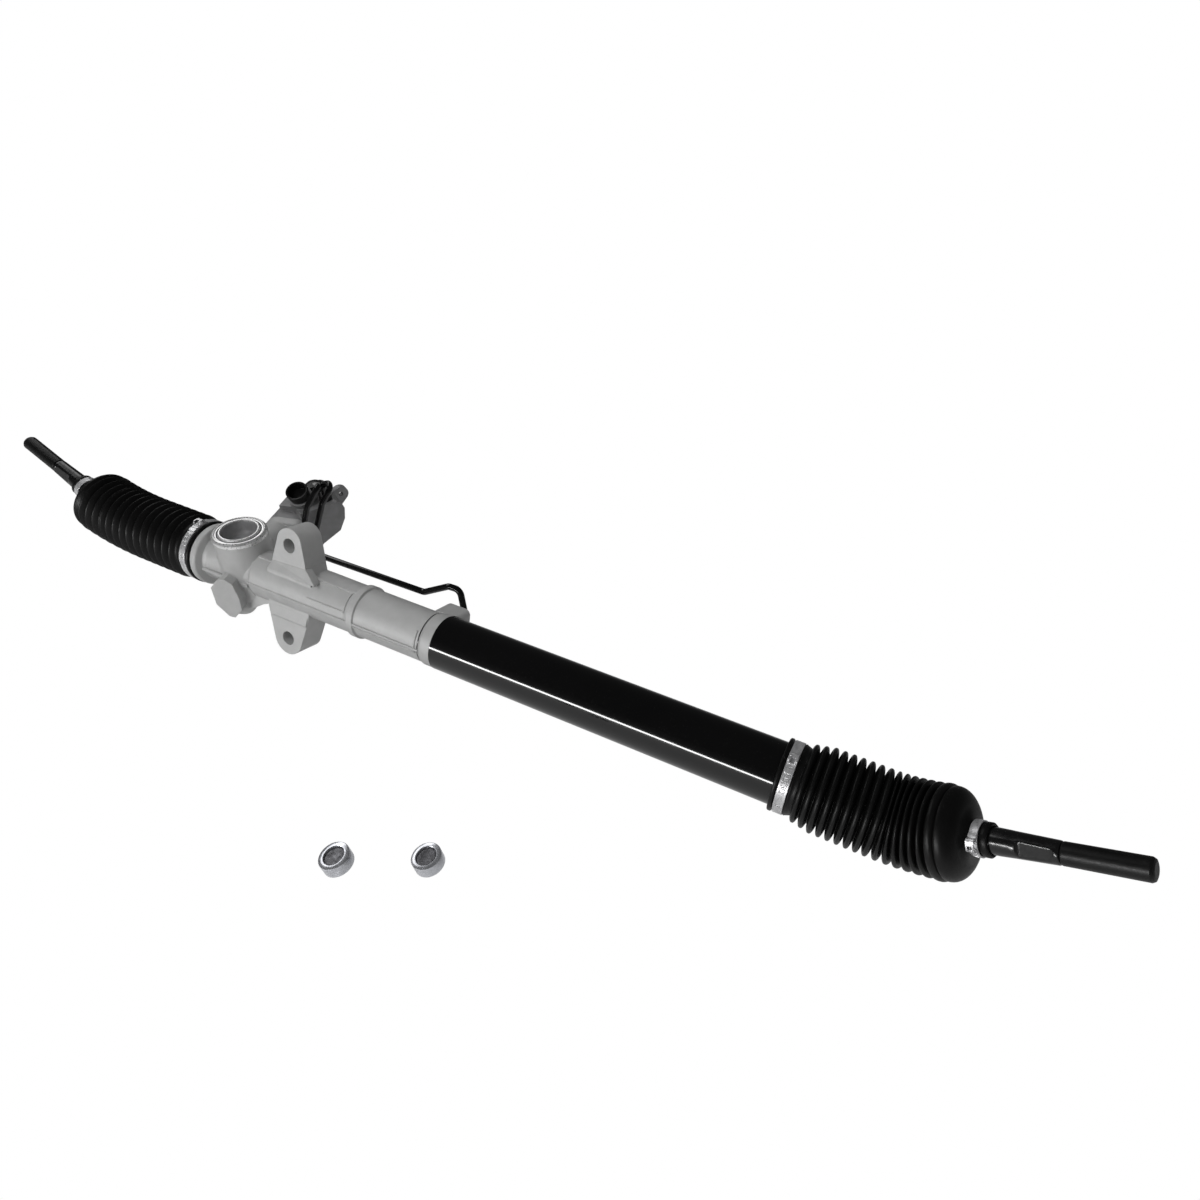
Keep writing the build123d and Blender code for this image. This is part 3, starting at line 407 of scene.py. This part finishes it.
    def inline(self):
        rows = [(s, max(NECK_BORE, min(r - WALL, INNER_CREST))) for s, r in self.outline()]
        return [(s, self.bore if s < CUFF_LENGTH else r) for s, r in rows]

    def ring(self, s, radius):
        centre, facing = self.station(s)
        side = Vector((0, 0, 1)).cross(facing).normalized()
        up = facing.cross(side)
        turns = [2 * math.pi * k / BOOT_SEGMENTS for k in range(BOOT_SEGMENTS)]
        return [centre + (side * math.cos(a) + up * math.sin(a)) * radius for a in turns]


def boot_piece(boot, name, low, high):
    # outer skin from low to high along the boot, then back along the inner skin: a closed sleeve
    outer = [row for row in boot.outline() if low <= row[0] <= high]
    inner = [row for row in boot.inline() if low <= row[0] <= high]
    loop = outer + inner[::-1]
    points = [point for s, radius in loop for point in boot.ring(s, radius)]
    faces = tube_faces(len(loop), BOOT_SEGMENTS, closed=True)
    if boot.way < 0:
        faces = [face[::-1] for face in faces]
    return new_piece(name, points, faces, rubber)


def nearest_row(boot, cut):
    # neighbouring pieces share a ring of the profile
    return min((row[0] for row in boot.outline()), key=lambda s: abs(s - cut))


boots = (
    Boot("left", way=-1, start_x=-121.5, bend_x=-205.0, ball_x=-263.4, rod_dir=(-0.9480, -0.0125, 0.3180),
         neck_end=63.0, first=25.0, last=162.0, count=14, near_r=34.2, cuff=31.2, bore=28.6, dome=17.0,
         fold=6.2, fold_power=1.3, last_ring=0.0, groove=1.6),
    Boot("right", way=1, start_x=484.0, bend_x=563.0, ball_x=586.4, rod_dir=(0.8321, -0.3469, 0.4327),
         neck_end=57.0, first=20.6, last=118.0, count=15, near_r=31.4, cuff=27.9, bore=25.5, dome=25.5,
         fold=7.3, fold_power=2.7, last_ring=8.8, groove=0.7),
)
# zones along X of each boot's inner, middle and outer piece; the boot is cut just past the end of the first
# two
zones = {
    "left": ((-137, -233), (-234, -250), (-251, -292)),
    "right": ((499, 562), (563, 593), (594, 619)),
}
for boot in boots:
    slide_zone, swing_zone, lift_zone = zones[boot.side]
    first_cut = nearest_row(boot, abs(slide_zone[1] - boot.start_x) + 1)
    second_cut = nearest_row(boot, abs(swing_zone[1] - boot.start_x) + 1)
    seat = f"{boot.side}_seat"
    rod = f"{boot.side}_rod"
    parts = (
        ("inner", -1, first_cut, "housing", "rack", slide_zone),
        ("middle", first_cut, second_cut, "rack", seat, swing_zone),
        ("outer", second_cut, boot.total + 1, seat, rod, lift_zone),
    )
    for part, low, high, near, far, zone in parts:
        piece = boot_piece(boot, f"{boot.side}_bellows_{part}", low, high)
        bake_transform(piece)
        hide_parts(f"{boot.side}_boot")

# ------------------------------------------------------------------ tie rods
# lengths along a rod are counted from its ball's centre
BALL = 12.0
BALL_STEPS = 24
SHANK = 6.3
FLATS = (74.0, 97.0)
FLAT_HALF = 6.9
FLAT_STEPS = 46
FLAT_RUN_OUT = 3.5
THREAD = (100.2, 144.5)
THREAD_R = 6.0
THREAD_DEPTH = 0.75
THREAD_STEPS = 8
PITCH = 1.5
ROD_SEGMENTS = 64


def rod_profile():
    turns = [math.pi * k / BALL_STEPS for k in range(1, 20)]
    rows = [(-BALL * math.cos(a), BALL * math.sin(a)) for a in turns]
    rows += [(10.4, SHANK), (33.0, SHANK), (34.5, 6.6), (39.5, 9.2), (41.0, 9.4), (62.0, 9.4), (69.0, 9.1)]
    length = FLATS[1] - FLATS[0] + 2
    for k in range(FLAT_STEPS + 1):
        rows.append((FLATS[0] - 1 + length * k / FLAT_STEPS, 8.9 - 0.85 * k / FLAT_STEPS))
    rows += [(98.9, 7.95), (99.6, 7.6), (99.9, THREAD_R)]
    steps = int((THREAD[1] - THREAD[0]) / PITCH * THREAD_STEPS)
    rows += [(THREAD[0] + k * PITCH / THREAD_STEPS, THREAD_R) for k in range(1, steps)]
    return rows + [(145.0, 5.2), (146.0, 4.4)]


def rod_radius(s, r, angle):
    # the profile's radius, cut by the wrench flats and by the thread's groove
    if FLATS[0] - 1 <= s <= FLATS[1] + 1:
        run_out = min(s - FLATS[0] + 1, FLATS[1] + 1 - s)
        half = FLAT_HALF + 2.2 * max(0.0, 1 - run_out / FLAT_RUN_OUT) ** 2
        return min(r, half / max(abs(math.cos(angle)), 0.01))
    if THREAD[0] < s < THREAD[1]:
        turn = (s / PITCH - angle / (2 * math.pi)) % 1.0
        return THREAD_R - THREAD_DEPTH * (1 - abs(2 * turn - 1))
    return r


def tie_rod(boot):
    side = Vector((0, 0, 1)).cross(boot.rod).normalized()
    up = boot.rod.cross(side)
    origin = Vector((boot.ball_x, 0, 0))
    rows = rod_profile()
    count = ROD_SEGMENTS
    points = [origin - boot.rod * BALL]
    for s, r in rows:
        for k in range(count):
            a = 2 * math.pi * k / count
            outwards = side * math.cos(a) + up * math.sin(a)
            points.append(origin + boot.rod * s + outwards * rod_radius(s, r, a))
    points.append(origin + boot.rod * rows[-1][0])
    faces = []
    for k in range(count):
        m = (k + 1) % count
        faces.append((0, 1 + m, 1 + k))
        for i in range(len(rows) - 1):
            low = 1 + i * count
            high = low + count
            faces.append((low + k, low + m, high + m, high + k))
        last = 1 + (len(rows) - 1) * count
        faces.append((last + k, last + m, len(points) - 1))
    made = new_piece(f"{boot.side}_forged_rod", points, faces, rod_paint)
    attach(made, f"{boot.side}_rod")
    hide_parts(f"{boot.side}_tie_rod")


for boot in boots:
    tie_rod(boot)

# ------------------------------------------------------------------ straps
# places along a strap are lengths of arc from its crimp
STRAP_STEPS = 720
STRAP_COLUMNS = 24
OVERLAP = (-46.0, 12.0)
OVERLAP_STEP = 0.5
WINDOWS = (-16.0, -20.6, -25.2)
WINDOW_HALF = 2.0
WINDOW_SHARE = 0.29
TAB = -9.2
TAB_HALF = 2.0
TAB_GAP = 3.2
SLOT = -39.0
EAR_COLUMNS = (-0.46, -0.28, 0.28, 0.46)
EAR_OPEN = (3, 4, 5)
EAR_HALF_THICKNESS = 0.36


def strap_relief(across, arc, width):
    # height of the pressed pattern at a place on the strap: overlap step, windows, tab and slot
    height = OVERLAP_STEP * smooth((arc - OVERLAP[0]) / 0.5) * smooth((OVERLAP[1] - arc) / 0.5)
    for window in WINDOWS:
        far = max(abs(arc - window) / WINDOW_HALF, abs(across) / (width * WINDOW_SHARE))
        height += 0.25 if 0.70 < far < 1.0 else (-0.35 if far <= 0.70 else 0.0)
    if abs(arc - TAB) < TAB_HALF:
        height += 0.7
    elif abs(arc - TAB) < TAB_GAP:
        height -= 0.5
    if abs(arc - SLOT) < 1.1 and abs(across) < width * 0.2:
        height -= 0.75
    return height


def crimp_ear(place, middle, width, outer, start):
    # the pinched loop that tightens the strap: an arch of strip, open along the band
    line = [(-6.8, 0.75), (-4.8, 0.9), (-3.9, 1.4), (-3.7, 2.6), (-3.3, 4.0), (-2.3, 4.8), (0.0, 5.0)]
    line += [(-t, h) for t, h in line[-2::-1]]
    n = len(line)
    points = []
    for share in EAR_COLUMNS:
        for offset in (EAR_HALF_THICKNESS, -EAR_HALF_THICKNESS):
            for i, (t, h) in enumerate(line):
                before = line[max(i - 1, 0)]
                after = line[min(i + 1, n - 1)]
                along = Vector((after[0] - before[0], after[1] - before[1])).normalized()
                angle = start + (t - along.y * offset) / outer
                points.append(place(middle + width * share, angle, outer + h + along.x * offset))
    faces = []
    # the strip's outer and inner skins, left open over the middle column's window
    for column in range(len(EAR_COLUMNS) - 1):
        for i in range(n - 1):
            if column == 1 and i in EAR_OPEN:
                continue
            here = 2 * n * column + i
            far = here + 2 * n
            faces += [(here, here + 1, far + 1, far), (n + here, n + here + 1, n + far + 1, n + far)]
    # its two long edges, then the window's
    for column in (0, len(EAR_COLUMNS) - 1):
        for i in range(n - 1):
            here = 2 * n * column + i
            faces.append((here, here + 1, n + here + 1, n + here))
    for column in (1, 2):
        for i in EAR_OPEN:
            here = 2 * n * column + i
            faces.append((here, here + 1, n + here + 1, n + here))
    # its two feet, and the window's ends
    for column in range(len(EAR_COLUMNS) - 1):
        here = 2 * n * column
        far = here + 2 * n
        ends = [0, n - 1] + ([EAR_OPEN[0], EAR_OPEN[-1] + 1] if column == 1 else [])
        faces += [(here + i, here + n + i, far + n + i, far + i) for i in ends]
    return points, faces


def strap_band(node, origin, axis, low, high, inner, outer, crimp, body, scale=1.0):
    # the band lies from low to high along the axis; crimp is its loop's angle in degrees
    front, up = across_axis(axis)

    def place(x, angle, radius):
        return origin + axis * x + (front * math.cos(angle) + up * math.sin(angle)) * radius

    middle = (low + high) / 2
    width = high - low
    start = math.radians(crimp)
    columns = [(low, inner), (low, outer - 0.25), (low + 0.2, outer)]
    columns += [(low + 0.3 + (width - 0.6) * k / STRAP_COLUMNS, outer) for k in range(STRAP_COLUMNS + 1)]
    columns += [(high - 0.2, outer), (high, outer - 0.25), (high, inner)]
    points = []
    for step in range(STRAP_STEPS):
        angle = 2 * math.pi * step / STRAP_STEPS
        past = (angle - start + math.pi) % (2 * math.pi) - math.pi
        for x, radius in columns:
            raised = strap_relief(x - middle, past * outer / scale, width) * scale if radius == outer else 0.0
            points.append(place(x, angle, radius + raised))
    faces = tube_faces(STRAP_STEPS, len(columns), closed=True)
    ear_points, ear_faces = crimp_ear(place, middle, width, outer, start)
    faces += [tuple(i + len(points) for i in face) for face in ear_faces]
    return solid_piece(f"{node}_strap", points + ear_points, faces, strap, body, node)


CLIP_WIDTH = 6
CLIP_SCALE = 0.55
strap_band("left_band_clamp", Vector(), X_AXIS, low=-133.2, high=-125.4, inner=31.25, outer=32.4, crimp=72,
           body="housing")
strap_band("right_band_clamp", Vector(), X_AXIS, low=488.2, high=496.0, inner=27.95, outer=29.1, crimp=58,
           body="housing")
for boot, near, crimp in zip(boots, (51.5, 45.0), (205, 12)):
    strap_band(f"{boot.side}_rod_clip", Vector((boot.ball_x, 0, 0)), boot.rod, low=near,
               high=near + CLIP_WIDTH, inner=11.8, outer=12.7, crimp=crimp, body=f"{boot.side}_rod",
               scale=CLIP_SCALE)


# ------------------------------------------------------------------ turned pieces and pipes
def turned_piece(name, rows, origin, axis, material, replaced=None, count=160, body="housing"):
    # a closed lathe profile of (distance along the axis, radius) pairs; a radius of 0 closes it on the axis
    front, up = across_axis(axis)
    points = []
    starts = []
    for along, radius in rows:
        starts.append(len(points))
        for k in range(count if radius > 0 else 1):
            a = 2 * math.pi * k / count
            points.append(origin + axis * along + (front * math.cos(a) + up * math.sin(a)) * radius)
    closed = rows[0][1] > 0
    faces = []
    for i in range(len(rows) if closed else len(rows) - 1):
        j = (i + 1) % len(rows)
        for k in range(count):
            m = (k + 1) % count
            low = (starts[i] + k, starts[i] + m) if rows[i][1] > 0 else (starts[i],)
            high = (starts[j] + m, starts[j] + k) if rows[j][1] > 0 else (starts[j],)
            faces.append(low + high)
    return solid_piece(name, points, faces, material, body, replaced)


BEND_STEPS = 8
LEAST_BEND = 0.01
LARGEST_CUT = 0.49
PIPE_SEGMENTS = 32


def bent_run(corners, bend):
    # the pipe's middle line: straight runs joined by bends of that radius, smaller where a run is short
    line = [corners[0]]
    for before, corner, after in zip(corners, corners[1:], corners[2:]):
        back = (before - corner).normalized()
        ahead = (after - corner).normalized()
        turn = math.pi - back.angle(ahead)
        if turn < LEAST_BEND:
            continue
        shortest = min((before - corner).length, (after - corner).length)
        cut = min(bend * math.tan(turn / 2), shortest * LARGEST_CUT)
        for k in range(BEND_STEPS + 1):
            t = k / BEND_STEPS
            line.append(corner + back * cut * (1 - t) ** 2 + ahead * cut * t**2)
    return line + [corners[-1]]


def bent_pipe(name, corners, bend, radius, material, replaced=None):
    line = bent_run(corners, bend)
    count = PIPE_SEGMENTS
    points = []
    side = None
    for i, here in enumerate(line):
        along = (line[min(i + 1, len(line) - 1)] - line[max(i - 1, 0)]).normalized()
        side = (along.orthogonal() if side is None else side - along * side.dot(along)).normalized()
        other = along.cross(side)
        for k in range(count):
            a = 2 * math.pi * k / count
            points.append(here + (side * math.cos(a) + other * math.sin(a)) * radius)
    faces = tube_faces(len(line), count, closed=False)
    faces.append(tuple(range(count)))
    faces.append(tuple((len(line) - 1) * count + k for k in range(count)))
    return solid_piece(name, points, faces, material, "housing", replaced)


# ------------------------------------------------------------------ short pipe, yoke ring and plug
YOKE_TILT = math.radians(17.1)
PINION_LEAN = math.radians(-18.3)
PINION_OFFSET = 17
yoke_foot = Vector((-72.4, 0, 0))
yoke_axis = Vector((0, -math.sin(YOKE_TILT), math.cos(YOKE_TILT)))
yoke_across = Vector((0, math.cos(YOKE_TILT), math.sin(YOKE_TILT)))
pinion_foot = Vector((-83.3, 0, 0)) - yoke_axis * PINION_OFFSET
pinion_axis = X_AXIS * math.sin(PINION_LEAN) + yoke_across * math.cos(PINION_LEAN)
pinion_side = X_AXIS * math.cos(PINION_LEAN) - yoke_across * math.sin(PINION_LEAN)


def by_pinion(side, up, along):
    return pinion_foot + pinion_side * side + yoke_axis * up + pinion_axis * along


PIPE_R = 3.2
PIPE_BEND = 7
short_route = [by_pinion(20, 14.3, 134), by_pinion(20, 33, 134), Vector((-67, 88, 70)), Vector((-74, 79, 46)),
               Vector((-75, 77, 31)), by_pinion(37, -4, 66), by_pinion(40, -20, 56), Vector((-8, 46, -6)),
               Vector((20, 46, -9)), Vector((93, 46, -9)), Vector((93, 24, -9))]
bent_pipe("short_pipe_bent", short_route, PIPE_BEND, PIPE_R, paint, "short_pipe")

ring_rows = [(39.65, 21.3), (39.65, 25.6), (38.4, 26.2), (38.5, 26.5), (41.4, 26.3), (43.2, 24.9),
             (43.6, 24.2), (43.6, 23.4), (43.0, 22.7), (42.8, 22.5), (42.8, 21.5), (42.6, 21.3)]
cup_rows = [(26.6, 0), (26.6, 20.5), (42.5, 20.5), (43.0, 20.0), (43.0, 17.5), (33.0, 16.9), (31.2, 16.0),
            (30.2, 14.4), (30.2, 5.2), (29.8, 4.8), (29.8, 0)]
lip_rows = [(43.02, 17.3), (43.02, 19.7), (43.9, 19.5), (44.4, 19.0), (44.5, 18.6), (44.4, 17.9),
            (43.9, 17.4)]
turned_piece("yoke_ring_turned", ring_rows, yoke_foot, yoke_axis, turned, "yoke_lock_ring")
turned_piece("yoke_plug_cup", cup_rows, yoke_foot, yoke_axis, plug_metal, "yoke_plug")
turned_piece("yoke_plug_lip", lip_rows, yoke_foot, yoke_axis, turned)

# ------------------------------------------------------------------ loose nuts
NUT_SEGMENTS = 96
nut_axis = Vector((-0.17, -0.40, 0.90)).normalized()
nut_rows = [(-5, 6.4), (-5, 10.4), (-4.4, 11), (4.6, 11), (5.1, 10.7), (5.3, 10.3), (5.3, 7.7), (5.1, 7.5),
            (3.4, 7.2), (3.4, 0.01), (-1, 0.01), (-1, 6.4)]
# a dark disc at the floor of each nut's top hole: painted shade of the hole
hole_shade_rows = [(3.42, 0.0), (3.75, 2.0), (3.55, 4.0), (3.9, 5.8), (3.7, 7.15), (3.41, 7.15), (3.41, 0.0)]
for letter, place in (("a", (238, -213, -61)), ("b", (288, -177, -61))):
    turned_piece(f"nut_{letter}_ring", nut_rows, Vector(place), nut_axis, chrome,
                 f"loose_nut_{letter}", NUT_SEGMENTS, f"nut_{letter}")
    turned_piece(f"nut_{letter}_recess", hole_shade_rows, Vector(place), nut_axis, painted_hole_shade, None,
                 NUT_SEGMENTS, f"nut_{letter}")

# ------------------------------------------------------------------ added to the casting
# sloped shelf at the foot of the upper ear
solid_piece("upper_ear_shelf",
            [(-21, -20, 28.6), (20.7, -20, 30.8), (35, -24, 20.2), (-23.3, -24, 20.9), (35, -23.7, 19.2),
             (-23.3, -23.7, 19.8), (33, -12, 18.6), (-22, -12, 19.0), (20, -12, 30.4), (-20, -12, 28.2)],
            [(0, 1, 2, 3), (3, 2, 4, 5), (5, 4, 6, 7), (0, 3, 5, 7, 9), (1, 8, 6, 4, 2), (9, 7, 6, 8),
             (0, 9, 8, 1)],
            cast, "housing")

# round bead low on the neck
BEAD_ANGLE = math.radians(-21)
BEAD_OUT = 24.0
BEAD_X = (-112.8, -60.0)
BEAD_R = 2.1
bead = Vector((0, -math.cos(BEAD_ANGLE), math.sin(BEAD_ANGLE))) * BEAD_OUT
bent_pipe("neck_bead", [bead + X_AXIS * x for x in BEAD_X], 1.0, BEAD_R, cast)

# ------------------------------------------------------------------ dust cover
cover_rows = [(154, 10.5), (154, 16.6), (156.5, 16.6), (157.5, 15.8), (168, 15.6), (173, 15.2), (176.2, 13.8),
              (177.6, 12.0), (178.0, 10.2), (177.4, 9.2), (176.0, 9.6), (174.6, 11.4), (171, 12.6),
              (157, 12.6)]
turned_piece("dust_cover_long", cover_rows, pinion_foot, pinion_axis, plastic, "dust_cover")


# ------------------------------------------------------------------ floor and world
def seen(nodes, links, *kinds):
    # 1 for a ray of one of these kinds
    path = nodes.new("ShaderNodeLightPath")
    total = path.outputs[kinds[0]]
    for kind in kinds[1:]:
        total = maths(nodes, links, "MAXIMUM", total, path.outputs[kind])
    return total


FLOOR_SIZE = 60
FLOOR_PLACE = (0.15, 0, -0.45)
FLOOR_COLOUR = (0.86, 0.86, 0.86, 1)
FLOOR_MIRRORED = 0.2
WHITE = (1, 1, 1, 1)
ROOM_LOW = (0.20, 0.20, 0.20)
ROOM_HIGH = (0.05, 0.05, 0.05)
ROOM_FADE = 0.35


def pale_floor():
    # white to the camera, a little white in reflections, and otherwise a pale matt floor
    bpy.ops.mesh.primitive_plane_add(size=FLOOR_SIZE, location=FLOOR_PLACE)
    floor = bpy.context.object
    floor.name = "floor"
    pale, nodes, links, shader = new_material("pale_floor")
    shader.inputs["Base Color"].default_value = FLOOR_COLOUR
    shader.inputs["Roughness"].default_value = 0.9
    white = nodes.new("ShaderNodeEmission")
    white.inputs["Color"].default_value = WHITE
    mirrored = maths(nodes, links, "MULTIPLY", seen(nodes, links, "Is Glossy Ray"), FLOOR_MIRRORED)
    straight = seen(nodes, links, "Is Camera Ray", "Is Transmission Ray")
    mixed = nodes.new("ShaderNodeMixShader")
    links.new(maths(nodes, links, "MAXIMUM", mirrored, straight), mixed.inputs["Fac"])
    links.new(shader.outputs["BSDF"], mixed.inputs[1])
    links.new(white.outputs["Emission"], mixed.inputs[2])
    links.new(mixed.outputs["Shader"], nodes["Material Output"].inputs["Surface"])
    floor.data.materials.append(pale)


def studio_world():
    # white to the camera, and a dim grey room to everything else
    world = bpy.data.worlds.new("studio")
    bpy.context.scene.world = world
    world.use_nodes = True
    nodes = world.node_tree.nodes
    links = world.node_tree.links
    background = nodes["Background"]
    background.inputs["Color"].default_value = WHITE
    background.inputs["Strength"].default_value = 1.0
    room = nodes.new("ShaderNodeBackground")
    room.inputs["Strength"].default_value = 1.0
    coord = nodes.new("ShaderNodeTexCoord")
    split = nodes.new("ShaderNodeSeparateXYZ")
    links.new(coord.outputs["Generated"], split.inputs["Vector"])
    fade = spread(nodes, links, split.outputs["Z"], 0.0, 1.0, -ROOM_FADE, ROOM_FADE)
    links.new(tint(nodes, links, ROOM_LOW, ROOM_HIGH, fade), room.inputs["Color"])
    mixed = nodes.new("ShaderNodeMixShader")
    links.new(seen(nodes, links, "Is Camera Ray", "Is Transmission Ray"), mixed.inputs["Fac"])
    links.new(room.outputs["Background"], mixed.inputs[1])
    links.new(background.outputs["Background"], mixed.inputs[2])
    links.new(mixed.outputs["Shader"], nodes["World Output"].inputs["Surface"])


pale_floor()
studio_world()


# ------------------------------------------------------------------ lamps
def lamp(name, place, target, width, height, power, mirrored=True, lights=True):
    # a soft rectangle; mirrored lets reflections show it, lights lets it light matt surfaces
    data = bpy.data.lights.new(name, "AREA")
    data.shape = "RECTANGLE"
    data.size = width
    data.size_y = height
    data.energy = power
    made = bpy.data.objects.new(name, data)
    made.location = place
    made.rotation_mode = "QUATERNION"
    made.rotation_quaternion = (Vector(target) - Vector(place)).to_track_quat("-Z", "Y")
    made.visible_camera = False
    made.visible_glossy = mirrored
    made.visible_diffuse = lights
    bpy.context.scene.collection.objects.link(made)


# the tube's two highlights
lamp("strip", (-0.25, -1.90, -0.34), (0.30, 0, 0), 1.5, 0.18, 26, lights=False)
lamp("card", (-1.20, 0.12, 1.16), (0.1, -0.05, 0), 1.35, 0.5, 5.0, lights=False)
# the light on matt surfaces
lamp("key", (-0.45, -2.0, 1.05), (0.1, 0, 0), 1.1, 0.8, 34, mirrored=False)
lamp("fill", (1.7, -0.9, 1.5), (0.1, 0, 0), 1.2, 0.9, 11, mirrored=False)
lamp("top", (-0.3, 0.2, 2.2), (0.1, 0, 0), 1.4, 1.0, 6, mirrored=False)
lamp("rear", (0.3, 2.0, 0.7), (0.1, 0, 0), 1.4, 0.9, 12, mirrored=False)

view = bpy.context.scene.view_settings
view.view_transform = "Standard"
